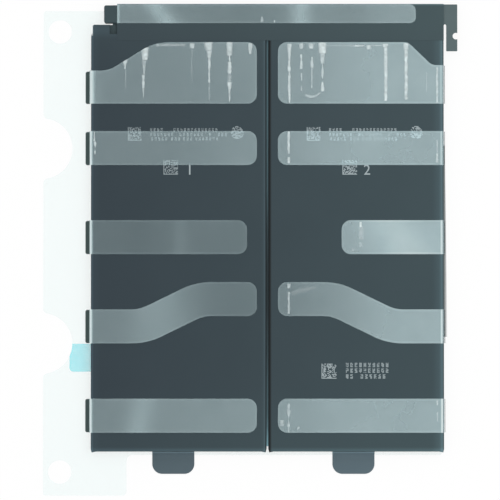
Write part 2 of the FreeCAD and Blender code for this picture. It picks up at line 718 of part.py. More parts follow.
def all_nodes():
    """Every piece of the battery by name."""
    nodes = {
        "carrier_liner": carrier_liner(),
        "liner_pull_tab": liner_pull_tab(),
        "cell_joining_tape": joining_tape(),
        "left_cell": pouch_cell(-1),
        "right_cell": pouch_cell(1),
        "board_cover": board_cover(),
        "protection_board": protection_board(),
        "gauge_chip": component_row(GAUGE_FROM_LEFT, 0, 1, GAUGE_SIZE),
        "protection_fets": component_row(FETS_FROM_LEFT, FET_PITCH, FET_COUNT, FET_SIZE),
        "sense_resistor": component_row(RESISTOR_FROM_LEFT, 0, 1, RESISTOR_SIZE),
        "board_capacitors": component_row(CAPACITORS_FROM_LEFT, CAPACITOR_PITCH, CAPACITOR_COUNT,
                                          CAPACITOR_SIZE),
        "thermistor": component_row(THERMISTOR_FROM_LEFT, 0, 1, THERMISTOR_SIZE),
        "contact_pads": contact_pads(),
        "board_wrap_film": board_wrap_film(),
        "board_adhesive_strip": board_adhesive_strip(),
        "side_fold_tape": side_fold_tape(),
        "left_lift_tab": lift_tab(LEFT_LIFT_TAB_SHIFT - cell_centre),
        "right_lift_tab": lift_tab(RIGHT_LIFT_TAB_SHIFT + cell_centre),
    }
    nodes.update(lead_nodes())
    nodes.update(strip_nodes())
    return nodes


os.makedirs("parts", exist_ok=True)
for node_name, shape in all_nodes().items():
    shape.exportStep(f"parts/{node_name}.step")
    print(node_name, len(shape.Solids), round(shape.Volume, 3), shape.isValid())
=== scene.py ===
# %% [markdown]
# # A tablet battery on its carrier liner
#
# The real object is a flat pack of two pouch cells. Clear stretch-release strips lie across the cells, a thin
# film wraps the board at one end, and everything is stuck to a clear carrier liner. The solids come from the
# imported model, in metres, and stay where they are. This lesson gives them their finishes, and adds what a
# solid can't show: haze and trapped air in the strips, and the marks on the cells.

# %% Load the solids
import json
import math

import bmesh
import bpy
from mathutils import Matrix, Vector


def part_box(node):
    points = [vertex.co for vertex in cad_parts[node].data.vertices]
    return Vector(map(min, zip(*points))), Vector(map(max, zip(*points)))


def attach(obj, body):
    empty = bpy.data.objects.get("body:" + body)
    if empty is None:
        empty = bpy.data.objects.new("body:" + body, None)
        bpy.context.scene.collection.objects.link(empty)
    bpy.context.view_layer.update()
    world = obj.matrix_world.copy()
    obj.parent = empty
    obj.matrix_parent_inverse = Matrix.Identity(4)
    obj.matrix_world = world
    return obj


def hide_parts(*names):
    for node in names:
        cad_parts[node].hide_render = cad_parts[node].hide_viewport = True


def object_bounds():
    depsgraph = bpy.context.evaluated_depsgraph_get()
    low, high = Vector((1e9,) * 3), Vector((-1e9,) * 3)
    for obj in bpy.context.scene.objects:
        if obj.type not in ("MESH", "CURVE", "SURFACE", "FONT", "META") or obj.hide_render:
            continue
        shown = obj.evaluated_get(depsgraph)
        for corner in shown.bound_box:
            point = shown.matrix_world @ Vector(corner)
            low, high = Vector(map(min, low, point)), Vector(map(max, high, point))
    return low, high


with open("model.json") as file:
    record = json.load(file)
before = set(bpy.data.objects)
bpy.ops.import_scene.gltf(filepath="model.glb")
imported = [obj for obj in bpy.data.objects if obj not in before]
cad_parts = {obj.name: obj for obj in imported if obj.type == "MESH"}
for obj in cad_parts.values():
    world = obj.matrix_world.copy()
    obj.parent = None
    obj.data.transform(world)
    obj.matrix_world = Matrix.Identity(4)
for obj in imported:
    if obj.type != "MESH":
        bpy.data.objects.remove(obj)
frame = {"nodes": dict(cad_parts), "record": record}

MM = 0.001
scene = bpy.context.scene
cad_low, cad_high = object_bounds()
print("solids:", len(frame["nodes"]), "size in mm:", [round(s / MM, 2) for s in cad_high - cad_low])

# %% [markdown]
# ## Camera
#
# The pack is seen from straight above by a long lens, with its free end a touch nearer. A camera could be
# orthographic, but a long perspective lens keeps that small taper. The camera is set by what it has to show:
# the width of the view, the point in its middle, its distance and its lean.

# %% Set the camera
VIEW_WIDTH = 150.0 * MM
VIEW_MIDDLE = Vector((-5.22, -2.07, 3.5)) * MM
CAMERA_DISTANCE = 1.2
CAMERA_LEAN = math.radians(1.6)

lens = bpy.data.cameras.new("long_lens")
lens.lens = lens.sensor_width * CAMERA_DISTANCE / VIEW_WIDTH
camera = bpy.data.objects.new("camera", lens)
away = Vector((0.0, -math.sin(CAMERA_LEAN), math.cos(CAMERA_LEAN)))
camera.location = VIEW_MIDDLE + away * CAMERA_DISTANCE
camera.rotation_euler = (CAMERA_LEAN, 0.0, 0.0)
scene.collection.objects.link(camera)
scene.camera = camera
scene.view_settings.view_transform = "Standard"
print("lens in mm:", round(lens.lens, 1))

# %% [markdown]
# ## Colours and nodes
#
# Colours are written as sRGB hex values, as a colour picker shows them, and one function turns them into the
# linear values that shaders take. One more function adds a node with its settings and links. It serves
# materials and Geometry Nodes alike, and a few short ones on top of it name what is used most.

# %% Helpers for colours and nodes
# Socket numbers of a Mix node that mixes colours: its names are shared by several sockets.
MIX_A, MIX_B, MIX_RESULT = 6, 7, 2


def linear(colour):
    """The linear RGBA of an sRGB hex colour."""
    shares = [int(colour[i:i + 2], 16) / 255 for i in (1, 3, 5)]
    return [s / 12.92 if s <= 0.04045 else ((s + 0.055) / 1.055) ** 2.4 for s in shares] + [1.0]


def add(tree, kind, inputs=None, **settings):
    """Adds one node. Its inputs are values or the sockets to link from, by name or number."""
    node = tree.nodes.new(kind)
    for name, value in settings.items():
        setattr(node, name, value)
    for socket, value in (inputs or {}).items():
        if isinstance(value, bpy.types.NodeSocket):
            tree.links.new(value, node.inputs[socket])
        else:
            node.inputs[socket].default_value = value
    return node


def calc(tree, operation, *values, **settings):
    """The result of a Math node on numbers or sockets."""
    return add(tree, "ShaderNodeMath", dict(enumerate(values)), operation=operation, **settings).outputs[0]


def remap(tree, value, low, high, start=0.0, end=1.0, **settings):
    """A socket that goes from low to high while a value goes from start to end."""
    limits = {"Value": value, "From Min": start, "From Max": end, "To Min": low, "To Max": high}
    return add(tree, "ShaderNodeMapRange", limits, **settings).outputs["Result"]


def mix(tree, share, first, second, **settings):
    """A socket with a mix of two colours."""
    inputs = {0: share, MIX_A: first, MIX_B: second}
    return add(tree, "ShaderNodeMix", inputs, data_type="RGBA", **settings).outputs[MIX_RESULT]


def split(tree, vector):
    """The X, Y and Z of a vector."""
    return add(tree, "ShaderNodeSeparateXYZ", {"Vector": vector}).outputs


def join(tree, **parts):
    """A vector made of its X, Y and Z."""
    return add(tree, "ShaderNodeCombineXYZ", parts).outputs["Vector"]


print("white is", linear("#ffffff"))

# %% [markdown]
# ## Floor and light
#
# Product pictures like this one are taken on a white table under a wide soft light. The floor is a plain
# white sheet that keeps the shadow of the pack. Most light comes evenly from the world, so colours render as
# written, and one large lamp from the right gives the edges their form.

# %% Lay the floor and light it
FLOOR_HALF = 3.0
FLOOR_DROP = 0.05 * MM
FLOOR_GLOW = 0.90
SKY_STRENGTH = 0.84
LAMP_PLACE = Vector((0.35, 0.25, 0.9))
LAMP_SIZE = 0.8
LAMP_WATTS = 2.4

floor_mesh = bpy.data.meshes.new("floor")
corners = [(x * FLOOR_HALF, y * FLOOR_HALF, -FLOOR_DROP) for x, y in ((-1, -1), (1, -1), (1, 1), (-1, 1))]
floor_mesh.from_pydata(corners, [], [(0, 1, 2, 3)])
floor = bpy.data.objects.new("floor", floor_mesh)
scene.collection.objects.link(floor)


def share_seen(tree, low, high):
    """A value that is high where the camera, a reflection or a clear film looks, and low for other light."""
    rays = add(tree, "ShaderNodeLightPath").outputs
    seen = calc(tree, "MAXIMUM", rays["Is Camera Ray"], rays["Is Glossy Ray"])
    return remap(tree, calc(tree, "MAXIMUM", seen, rays["Is Transmission Ray"]), low, high)


paper = bpy.data.materials.new("white_table_paper")
paper.use_nodes = True
sheet = paper.node_tree
matt = add(sheet, "ShaderNodeBsdfDiffuse", {"Color": linear("#fdfdfd")})
glow = add(sheet, "ShaderNodeEmission", {"Color": linear("#ffffff"), "Strength": 1.0})
both = add(sheet, "ShaderNodeMixShader", {0: share_seen(sheet, 0.0, FLOOR_GLOW), 1: matt.outputs[0],
                                          2: glow.outputs[0]})
sheet.links.new(both.outputs[0], sheet.nodes["Material Output"].inputs["Surface"])
floor_mesh.materials.append(paper)

world = bpy.data.worlds.new("soft_white_room")
world.use_nodes = True
scene.world = world
sky = world.node_tree
backdrop = sky.nodes["Background"]
backdrop.inputs["Color"].default_value = linear("#ffffff")
sky.links.new(share_seen(sky, SKY_STRENGTH, 1.0), backdrop.inputs["Strength"])

lamp_data = bpy.data.lights.new("wide_soft_lamp", "AREA")
lamp_data.size = LAMP_SIZE
lamp_data.energy = LAMP_WATTS
lamp = bpy.data.objects.new("wide_soft_lamp", lamp_data)
lamp.location = LAMP_PLACE
lamp.rotation_euler = LAMP_PLACE.to_track_quat("Z", "Y").to_euler()
scene.collection.objects.link(lamp)
print("lamp distance in m:", round(LAMP_PLACE.length, 2))

# %% [markdown]
# ## Finishes
#
# Every finish starts from what the material is. Most of them are thin plastics, so they share one recipe: two
# close tones mixed by a cloudy noise, a roughness that wanders a little, and a fine grain as bump. The scales
# are real sizes in millimetres. What sets a finish apart is added to it afterwards.

# %% The recipe that the finishes share
CLOUD_DETAIL, GRAIN_DETAIL = 3.0, 2.0


def start_finish(name, dark, light, cloud, grain, relief, rough, constants):
    """A material with two mixed tones, wandering roughness and a fine grain. Sizes are in millimetres."""
    material = bpy.data.materials.new(name)
    material.use_nodes = True
    tree = material.node_tree
    shader = tree.nodes["Principled BSDF"]
    for socket, value in constants.items():
        shader.inputs[socket].default_value = value
    place = add(tree, "ShaderNodeTexCoord").outputs["Object"]
    noises = [add(tree, "ShaderNodeTexNoise", {"Vector": place, "Scale": 1 / (size * MM), "Detail": detail})
              for size, detail in ((cloud, CLOUD_DETAIL), (grain, GRAIN_DETAIL))]
    clouds, grains = (noise.outputs["Fac"] for noise in noises)
    bump = add(tree, "ShaderNodeBump", {"Height": grains, "Strength": 1.0, "Distance": relief * MM})
    tree.links.new(mix(tree, clouds, linear(dark), linear(light)), shader.inputs["Base Color"])
    tree.links.new(remap(tree, grains, *rough), shader.inputs["Roughness"])
    tree.links.new(bump.outputs["Normal"], shader.inputs["Normal"])
    return material, tree, shader, clouds


def colour_of(shader):
    """The socket that gives a finish its colour."""
    return shader.inputs["Base Color"].links[0].from_socket


def multiply_tone(tree, shader, factor):
    """Multiplies the colour of a finish by a socket."""
    product = mix(tree, 1.0, colour_of(shader), factor, blend_type="MULTIPLY")
    tree.links.new(product, shader.inputs["Base Color"])


def object_place(tree):
    """The X, Y and Z of a point on the object."""
    return split(tree, add(tree, "ShaderNodeTexCoord").outputs["Object"])


finishes = {}
print("noise detail of clouds and grain:", CLOUD_DETAIL, GRAIN_DETAIL)

# %% [markdown]
# ### Pouch laminate
#
# The pouch is aluminium foil between polymer films, with a dark satin nylon skin outside. The skin is even
# from near by, but it grows lighter towards the right and towards both ends. Painted highlights run along the
# folds at its long edges and the creases beside them, painted shade lies in the gap between the cells, and
# its bent ends carry painted highlights. Its bends also get painted light and shade by how they face a given
# light. The gradient and the painted lines are worked out from Object coordinates, and the painted light on
# the bends from the object's own normal, so all of them stay fixed to the cells in every view.

# %% Finish the skins that grow lighter
SKIN = {"IOR": 1.53, "Specular IOR Level": 0.20}
# Along Y a skin grows lighter between two distances from a middle, by a share of the way to its right tones.
END_MIDDLE, END_FROM, END_TO, END_SHARE = 3.0 * MM, 46.0 * MM, 64.0 * MM, 0.36
# Painted light and shade on bends: how much more a bend faces a given light than a flat face does, and what
# that adds to the skin's brightness.
PAINTED_FOLD_LIGHT = ((-0.70, -0.20), (-0.20, -0.20), (-0.04, -0.08), (0.0, 0.0), (0.03, 0.10), (0.066, 0.20))
# Painted highlight and shade lines of each skin, across X and along Y: place and half width in millimetres,
# and what they add.
# On the pouch the pale lines are painted highlights on the folds and creases, and the dark ones painted
# shade, most of it in the gap between the cells.
pouch_painted_lines = {
    "X": [(-52.65, 0.55, 1.00), (-52.30, 2.50, 0.17), (-51.95, 0.30, -0.08), (-1.30, 0.80, 0.10),
          (-0.92, 0.38, 0.50), (-0.42, 0.32, -0.50), (0.64, 0.42, -0.85), (0.95, 0.45, -0.45),
          (52.00, 3.00, 0.36), (52.10, 0.75, 0.40), (52.38, 0.45, 0.55)],
    "Y": [(-62.10, 1.10, 0.45), (64.00, 3.00, 0.35)],
}
# The wrap film gets a painted highlight along its upper bend.
wrap_painted_lines = {"Y": [(71.75, 0.45, 0.80)]}
# The lift tabs get painted light along their fold, where the cell's end wall shades them.
tab_painted_lines = {"Y": [(-62.50, 0.60, 0.20), (-62.90, 2.20, 0.26)]}


def tone_ramp(tree, value, stops):
    """A grey that follows a value through stops of place and brightness."""
    ramp = add(tree, "ShaderNodeValToRGB", {"Fac": value})
    for place, _ in stops[1:-1]:
        ramp.color_ramp.elements.new(place)
    for element, (place, bright) in zip(ramp.color_ramp.elements, stops):
        element.position = place
        element.color = (bright, bright, bright, 1.0)
    return ramp.outputs["Color"]


def painted_line_tone(tree, value, painted_lines):
    """A value that is one on flat skin, and more or less along painted lines of highlight and shade."""
    total = 1.0
    for place, reach, gain in painted_lines:
        aside = calc(tree, "ABSOLUTE", calc(tree, "SUBTRACT", value, place * MM))
        line = remap(tree, aside, gain, 0.0, end=reach * MM, interpolation_type="SMOOTHSTEP")
        total = calc(tree, "ADD", total, line)
    return total


def graded_skin(name, left, right, cloud, grain, relief, rough, light, painted_fold_share, painted_lines):
    """A satin film with a pair of tones on the left, another on the right, painted light and shade on bends
    by how they face a light, and painted highlight and shade lines.
    """
    material, tree, shader, clouds = start_finish(name, *left, cloud, grain, relief, rough, SKIN)
    place = object_place(tree)
    across = remap(tree, place["X"], 0.0, 1.0, cad_low.x, cad_high.x)
    along = calc(tree, "ABSOLUTE", calc(tree, "SUBTRACT", place["Y"], END_MIDDLE))
    ends = remap(tree, along, 0.0, END_SHARE, END_FROM, END_TO)
    far = mix(tree, clouds, linear(right[0]), linear(right[1]))
    skin = mix(tree, calc(tree, "ADD", across, ends), colour_of(shader), far, clamp_factor=False)
    tree.links.new(skin, shader.inputs["Base Color"])
    aim = Vector(light).normalized()
    normal = add(tree, "ShaderNodeTexCoord").outputs["Normal"]
    facing = add(tree, "ShaderNodeVectorMath", {0: normal, 1: aim}, operation="DOT_PRODUCT")
    multiply_tone(tree, shader, tone_ramp(tree, facing.outputs["Value"], [
        (aim.z + more, 1 + gain * painted_fold_share) for more, gain in PAINTED_FOLD_LIGHT]))
    for axis, lines in painted_lines.items():
        multiply_tone(tree, shader, painted_line_tone(tree, place[axis], lines))
    return material


# After the two pairs of tones come the sizes of the clouds, the grain and its relief in millimetres.
# Light gives the way from which the bends get their painted light and shade.
finishes["pouch_laminate"] = graded_skin(
    "nylon_skinned_pouch_foil", ("#26323a", "#2a363e"), ("#334449", "#37484d"), 14.0, 0.35, 0.004,
    rough=(0.42, 0.52), light=(0.10, -0.45, 0.90), painted_fold_share=1.0, painted_lines=pouch_painted_lines)
finishes["wrap_film"] = graded_skin(
    "charcoal_polyimide_film", ("#27333b", "#2b373f"), ("#344549", "#38494e"), 14.0, 0.25, 0.003,
    rough=(0.36, 0.46), light=(0.10, 0.45, 0.90), painted_fold_share=1.8, painted_lines=wrap_painted_lines)
finishes["lift_tab_film"] = graded_skin(
    "grey_polyester_film", ("#404e55", "#455359"), ("#51636c", "#56676e"), 7.0, 0.25, 0.003,
    rough=(0.38, 0.48), light=(0.0, -0.60, 0.80), painted_fold_share=2.0, painted_lines=tab_painted_lines)
print("graded skins:", sorted(finishes))

# %% [markdown]
# ### Tapes, mouldings and metals
#
# The other pieces are small. Each takes the shared recipe with its own tones and grain: polyester tapes are
# smooth, the moulding has a fine spark texture, the board shows a cloudy mask, and metals are rolled or
# plated.

# %% Finish the small pieces
PLASTIC = {"IOR": 1.5, "Specular IOR Level": 0.25}
METAL = {"Metallic": 1.0}
# Name, two tones, sizes of the clouds, the grain and its relief in millimetres, roughness and constants.
small_finishes = {
    "black_tape": ("black_polyester_tape", "#415352", "#465857", 6.0, 0.30, 0.003, (0.40, 0.50), PLASTIC),
    "cover_moulding": ("black_polycarbonate_moulding", "#324246", "#37474b", 4.0, 0.20, 0.008, (0.50, 0.62),
                       PLASTIC),
    "solder_mask": ("grey_solder_mask", "#4d5f60", "#546366", 5.0, 0.40, 0.006, (0.35, 0.48), PLASTIC),
    "chip_epoxy": ("black_moulded_epoxy", "#141516", "#1c1d1f", 1.5, 0.12, 0.006, (0.50, 0.62), PLASTIC),
    "capacitor_body": ("tan_ceramic", "#83694a", "#967a58", 0.8, 0.10, 0.004, (0.40, 0.52), PLASTIC),
    "resistor_metal": ("plain_shunt_metal", "#a3a19b", "#b5b2ab", 1.0, 0.15, 0.004, (0.30, 0.42), METAL),
    "contact_gilt": ("gold_plated_contact", "#d9b25f", "#e6c279", 1.0, 0.10, 0.003, (0.18, 0.30), METAL),
    "lead_aluminium": ("rolled_aluminium", "#cfd2d4", "#dde0e1", 2.0, 0.20, 0.004, (0.28, 0.40), METAL),
    "lead_nickel": ("nickel_plated_copper", "#b9b4aa", "#c6c1b7", 2.0, 0.20, 0.004, (0.25, 0.38), METAL),
}
for slot, look in small_finishes.items():
    finishes[slot] = start_finish(*look)[0]
print("small finishes:", len(small_finishes))

# %% [markdown]
# Some of the black tapes look different. The one between the cells has painted light and shade along Y:
# bright at the open ends of the gap, where light comes in, and dark in its middle. Those on the right side
# are so thin that the white below shows through them, and more so towards their outer edge.

# %% Finish the tapes that differ
# Tones of the tape between the cells, and the painted light and shade along it: places along Y in millimetres
# with their brightness.
GAP_COLOURS = ("#3b5258", "#40575d")
GAP_PAINTED_LIGHT = ((-61.0, 4.6), (-58.5, 3.6), (-55.0, 2.0), (-50.0, 1.35), (-43.0, 1.2), (-34.0, 0.75),
             (-20.0, 0.3), (-7.0, 0.3), (5.0, 0.6), (16.0, 1.2), (38.0, 1.6))
# Where along X the thin tapes let more light through, and the share that they stop before and after.
THIN_FROM, THIN_TO = 53.20 * MM, 54.00 * MM
THIN_OPACITIES = (0.62, 0.08)
THIN_PIECES = ("side_fold_tape", "right_pull_tab_1", "right_pull_tab_2", "right_pull_tab_5")

_, dark, light, *tape_look = small_finishes["black_tape"]
joining_tape, tree, shader, _ = start_finish("tape_between_cells", *GAP_COLOURS, *tape_look)
along = remap(tree, object_place(tree)["Y"], 0.0, 1.0, cad_low.y, cad_high.y)
# The tape between the cells gets its painted light and shade along Y.
multiply_tone(tree, shader, tone_ramp(tree, along, [
    ((at * MM - cad_low.y) / (cad_high.y - cad_low.y), bright) for at, bright in GAP_PAINTED_LIGHT]))
thin_tape, tree, shader, _ = start_finish("thin_black_tape", dark, light, *tape_look)
opacity = remap(tree, object_place(tree)["X"], *THIN_OPACITIES, THIN_FROM, THIN_TO)
tree.links.new(opacity, shader.inputs["Alpha"])
own_finishes = {"cell_joining_tape": joining_tape, **dict.fromkeys(THIN_PIECES, thin_tape)}
print("tapes with a finish of their own:", sorted(own_finishes))

# %% [markdown]
# ### Clear films
#
# The liner, its blue tab and the seals on the leads let light through. Clear film on paper could be made with
# glass, but thin glass needs many light bounces to stay bright. Alpha does the same for a film without
# lensing: a share of the light goes straight on, and the rest meets a pale surface.

# %% Finish the clear films
CLEAR = {"IOR": 1.47, "Specular IOR Level": 0.3}
# As above, with the share of light that one face of the film stops in the place of the constants.
clear_films = {
    "release_liner": ("clear_release_film", "#bfeeea", "#d2f3f0", 30.0, 0.6, 0.002, (0.25, 0.35), 0.09),
    "blue_tab_film": ("pale_blue_polyester_film", "#30f0ff", "#44f3ff", 6.0, 0.5, 0.002, (0.25, 0.35), 0.37),
    "seal_film": ("polypropylene_lead_film", "#dcd8c6", "#e8e4d4", 2.0, 0.2, 0.002, (0.30, 0.40), 0.50),
}
for slot, (*look, opacity) in clear_films.items():
    finishes[slot] = start_finish(*look, {**CLEAR, "Alpha": opacity})[0]
print("clear films:", sorted(clear_films))

# %% [markdown]
# ### Stretch-release film
#
# The adhesive strips are clear but hazy, and the haze isn't the same everywhere. It is worked out point by
# point when the strips are made, and stored on their meshes as an attribute called opacity. The material only
# has to read it and break it up a little. Where the film stops most of the light it also turns white; on the
# strips that is mostly the painted highlight along the bend. Air caught under the film is the same material,
# only whiter.

# %% Finish the adhesive film and the air in it
FILM_CLOUD, AIR_CLOUD = 9.0, 1.5
FILM_GRAIN, FILM_RELIEF = 0.5, 0.002
# The opacities of one face between which the film turns white. On the strips this whitens mostly the painted
# highlight along the bend.
WHITE_FROM, WHITE_TO = 0.42, 0.72
WHITE_FILM = "#e8f4f4"


def film_finish(name, dark, light, cloud, attribute, unevenness, rough):
    """A pale film whose alpha is an attribute of the mesh, broken up by a cloudy noise."""
    material, tree, shader, clouds = start_finish(name, dark, light, cloud, FILM_GRAIN, FILM_RELIEF, rough,
                                                  CLEAR)
    stored = add(tree, "ShaderNodeAttribute", attribute_name=attribute).outputs["Fac"]
    uneven = remap(tree, clouds, 1 - unevenness, 1 + unevenness)
    tree.links.new(calc(tree, "MULTIPLY", stored, uneven, use_clamp=True), shader.inputs["Alpha"])
    # White where the film is densest: on the strips mostly the painted highlight of the bend, and in the air
    # the air itself.
    whiteness = remap(tree, stored, 0.0, 1.0, WHITE_FROM, WHITE_TO)
    pale = mix(tree, whiteness, colour_of(shader), linear(WHITE_FILM))
    tree.links.new(pale, shader.inputs["Base Color"])
    return material


finishes["adhesive_film"] = film_finish("clear_acrylic_adhesive_film", "#cbe4e8", "#d2e9ed", FILM_CLOUD,
                                        "opacity", unevenness=0.10, rough=(0.30, 0.40))
air_finish = film_finish("air_under_film", "#e2f1f4", "#eaf6f8", AIR_CLOUD, "air", unevenness=0.65,
                         rough=(0.35, 0.45))
print("film finishes:", finishes["adhesive_film"].name, air_finish.name)

# %% [markdown]
# ### Put the finishes on the solids
#
# The record says which finish each solid takes. The solids keep their meshes, and only their material slots
# change.

# %% Assign the finishes
for part in frame["record"]["subparts"]:
    for place in frame["nodes"][part["node"]].material_slots:
        place.material = own_finishes.get(part["node"], finishes[part["material_slot"]])

# %% [markdown]
# ## Adhesive strips
#
# A strip is a flat film whose outer end bends down over the side of the cell. Its solid has the right
# outline, but its faces are too large to hold haze. So each strip starts as a copy of its solid: the copy is
# welded, its upper face gets a rim that ends in a narrow step, and planes cut it into a grid. Its underside
# is lifted a hair, so that marks on the cell lie under it.

# %% Cut a strip from its solid
WELD = 0.002 * MM
CUT_TOLERANCE = WELD / 10
FLAT_ANGLE = math.radians(1.0)
SHARP_ANGLE = math.radians(40.0)
RIM_WIDTH = 0.50 * MM
RIM_STEP = 0.20 * MM
GRID_STEP = 1.0 * MM
END_STEP = 0.12 * MM
END_REACH = 1.6 * MM
UNDER_LIFT = 0.02 * MM
# A face belongs to the underside if its normal points this much against the way off the cell.
FACING_UNDER = -0.3


def steps(low, high, step):
    """Places from low to high, about one step apart, without the ends."""
    count = int((high - low) / step)
    return [low + (i + 1) * (high - low) / (count + 1) for i in range(count)]


def cut_strip(node, outward):
    """A finely cut copy of a film's solid, as a bmesh with a rim layer. Outward points off the cell."""
    source = frame["nodes"][node].data
    plain = bpy.data.meshes.new(node)
    plain.from_pydata([v.co for v in source.vertices], [], [f.vertices for f in source.polygons])
    strip = bmesh.new()
    strip.from_mesh(plain)
    bmesh.ops.remove_doubles(strip, verts=strip.verts, dist=WELD)
    bmesh.ops.dissolve_limit(strip, angle_limit=FLAT_ANGLE, verts=strip.verts, edges=strip.edges)
    rim = strip.verts.layers.float.new("rim")
    upper = max(strip.faces, key=lambda face: face.normal.z * face.calc_area())
    for thickness, pale in ((RIM_WIDTH, 1.0), (RIM_STEP, 0.0)):
        for vertex in upper.verts:
            vertex[rim] = 1.0
        bmesh.ops.inset_region(strip, faces=[upper], thickness=thickness, use_even_offset=True)
        for vertex in upper.verts:
            vertex[rim] = pale
    low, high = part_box(node)
    outer_end = (high.x - END_REACH, high.x) if outward.x > 0 else (low.x, low.x + END_REACH)
    cuts = [(0, x) for x in steps(low.x, high.x, GRID_STEP) + steps(*outer_end, END_STEP)]
    cuts += [(1, y) for y in steps(low.y, high.y, GRID_STEP)]
    for axis, place in cuts:
        normal = Vector([float(i == axis) for i in range(3)])
        bmesh.ops.bisect_plane(strip, geom=[*strip.verts, *strip.edges, *strip.faces], dist=CUT_TOLERANCE,
                               plane_co=normal * place, plane_no=normal)
    strip.normal_update()
    under = {}
    for face in strip.faces:
        if face.normal.dot(outward) < FACING_UNDER:
            for vertex in face.verts:
                under[vertex] = under.get(vertex, Vector()) + face.normal
    for vertex, normal in under.items():
        vertex.co -= normal.normalized() * UNDER_LIFT
    return strip


print("strips to cut:", sum("strip" in node for node in frame["nodes"]))

# %% [markdown]
# The haze of a strip runs from its outer end to its inner end. The strips on the right are hazier, and their
# extra brightness stands partly for a painted reflection of the light from the right. Soft bands make the
# haze stronger or weaker in places, and its rim is a little paler, a painted highlight along the edges. The
# bend over the edge carries a white line: a painted highlight where the curved film catches light, and partly
# the longer path of light through the bent film. On the right the film is clear where it bends down the wall.
# Opacity is that of the whole film: light passes two faces, so each face takes its share.

# %% Haze of each strip
# The rim's extra haze is a painted highlight along the film's edges.
RIM_HIGHLIGHT = 0.08
# Right ends turn clear between these distances from the outer end, in millimetres, and keep a share of haze.
CLEAR_FROM, CLEAR_TO, CLEAR_SHARE = 0.70, 0.25, 0.25
# The white line of the bend is a painted highlight, partly also the thicker path through the film: how far in
# from the outer end it is, how wide its half is, and how white.
white_lines = {"left": (0.45, 0.55, 0.95), "right": (1.00, 0.34, 0.90), "board": (0.35, 0.50, 0.62),
               "left_strip_1": (0.60, 0.95, 0.92), "right_strip_1": (1.18, 0.30, 0.72),
               "right_strip_2": (1.05, 0.28, 0.80), "right_strip_5": (0.90, 0.38, 0.95)}
# Opacity at the outer and at the inner end. The higher values on the right strips stand partly for a painted
# reflection of the light from the right.
haze_ends = {
    "left_strip_1": (0.30, 0.34), "left_strip_2": (0.27, 0.35), "left_strip_3": (0.16, 0.18),
    "left_strip_4": (0.255, 0.155), "left_strip_5": (0.27, 0.365),
    "right_strip_1": (0.57, 0.38), "right_strip_2": (0.54, 0.38), "right_strip_3": (0.61, 0.445),
    "right_strip_4": (0.56, 0.23), "right_strip_5": (0.55, 0.385), "board_adhesive_strip": (0.29, 0.39),
}
# Soft bands: place along X and width in millimetres, what they add, and their lean for each unit of Y.
haze_bands = {
    "left_strip_1": [(-29.0, 20.0, -0.03, 0.0), (-50.8, 2.0, 0.03, 0.0)],
    "left_strip_2": [(-32.0, 18.0, -0.04, 0.0)],
    "left_strip_3": [(-26.2, 2.2, 0.05, 0.0), (-38.0, 6.0, -0.02, 0.0)],
    "left_strip_4": [(-32.5, 10.0, 0.16, 0.0), (-5.0, 4.0, 0.03, 0.0)],
    "left_strip_5": [(-38.0, 3.8, 0.15, 0.2)], "right_strip_1": [(32.0, 10.0, 0.04, 0.0)],
    "right_strip_2": [(28.0, 12.0, 0.07, 0.0)], "right_strip_3": [(38.5, 9.5, 0.195, -0.6)],
    "right_strip_4": [(36.5, 9.0, 0.085, 0.0)], "right_strip_5": [(26.0, 16.0, 0.04, 0.0)],
    "board_adhesive_strip": [(-32.0, 3.2, 0.275, -0.7), (10.0, 3.0, 0.26, 0.0), (-6.0, 22.0, -0.105, 0.0),
                             (26.0, 6.0, -0.07, 0.0)],
}


def film_opacity(node, low, high, place, rim, outward):
    """How much of the light one face of the film stops at a point."""
    from_outer = high.x - place.x if outward.x > 0 else place.x - low.x
    outer, inner = haze_ends[node]
    haze = outer + (inner - outer) * from_outer / (high.x - low.x) + rim * RIM_HIGHLIGHT
    above_middle = (place.y - (low.y + high.y) / 2) / MM
    for middle, width, gain, lean in haze_bands.get(node, []):
        haze += gain * math.exp(-((place.x / MM - middle - lean * above_middle) / width) ** 2)
    side = node.split("_")[0]
    middle, reach, white = white_lines.get(node, white_lines[side])
    line = math.sqrt(max(0.0, 1 - abs(from_outer / MM - middle) / reach))
    haze += (white - haze) * line
    if side == "right":
        share = (from_outer / MM - CLEAR_TO) / (CLEAR_FROM - CLEAR_TO)
        haze *= min(max(share, CLEAR_SHARE), 1.0)
    return 1 - math.sqrt(1 - min(max(haze, 0.0), 1.0))


print("hazy strips:", len(haze_ends), "bands in them:", sum(map(len, haze_bands.values())))

# %% Make the strips
def show(name, mesh, material, slot, *nodes):
    """Makes a piece of a mesh, lets it ride with the pack and hides the solids that it stands for."""
    mesh.name = name
    mesh.materials.clear()
    mesh.materials.append(material)
    made = bpy.data.objects.new(name, mesh)
    scene.collection.objects.link(made)
    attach(made, "root")
    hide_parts(*nodes)
    return made


def make_strip(node, outward):
    """The film of one strip, with its opacity stored at each point."""
    strip = cut_strip(node, outward)
    low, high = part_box(node)
    rim = strip.verts.layers.float["rim"]
    opacity = strip.verts.layers.float.new("opacity")
    for vertex in strip.verts:
        vertex[opacity] = film_opacity(node, low, high, vertex.co, vertex[rim], outward)
    mesh = bpy.data.meshes.new(node)
    strip.to_mesh(mesh)
    strip.free()
    mesh.shade_smooth()
    mesh.set_sharp_from_angle(angle=SHARP_ANGLE)
    return show(node + "_film", mesh, finishes["adhesive_film"], "adhesive_film", node)


strips = {}
for node in haze_ends:
    side = {"left": -1.0, "right": 1.0}.get(node.split("_")[0], 0.0)
    strips[node] = make_strip(node, Vector((side, 0.0, 1.0)).normalized())
print("strips:", len(strips), "faces:", sum(len(strip.data.polygons) for strip in strips.values()))

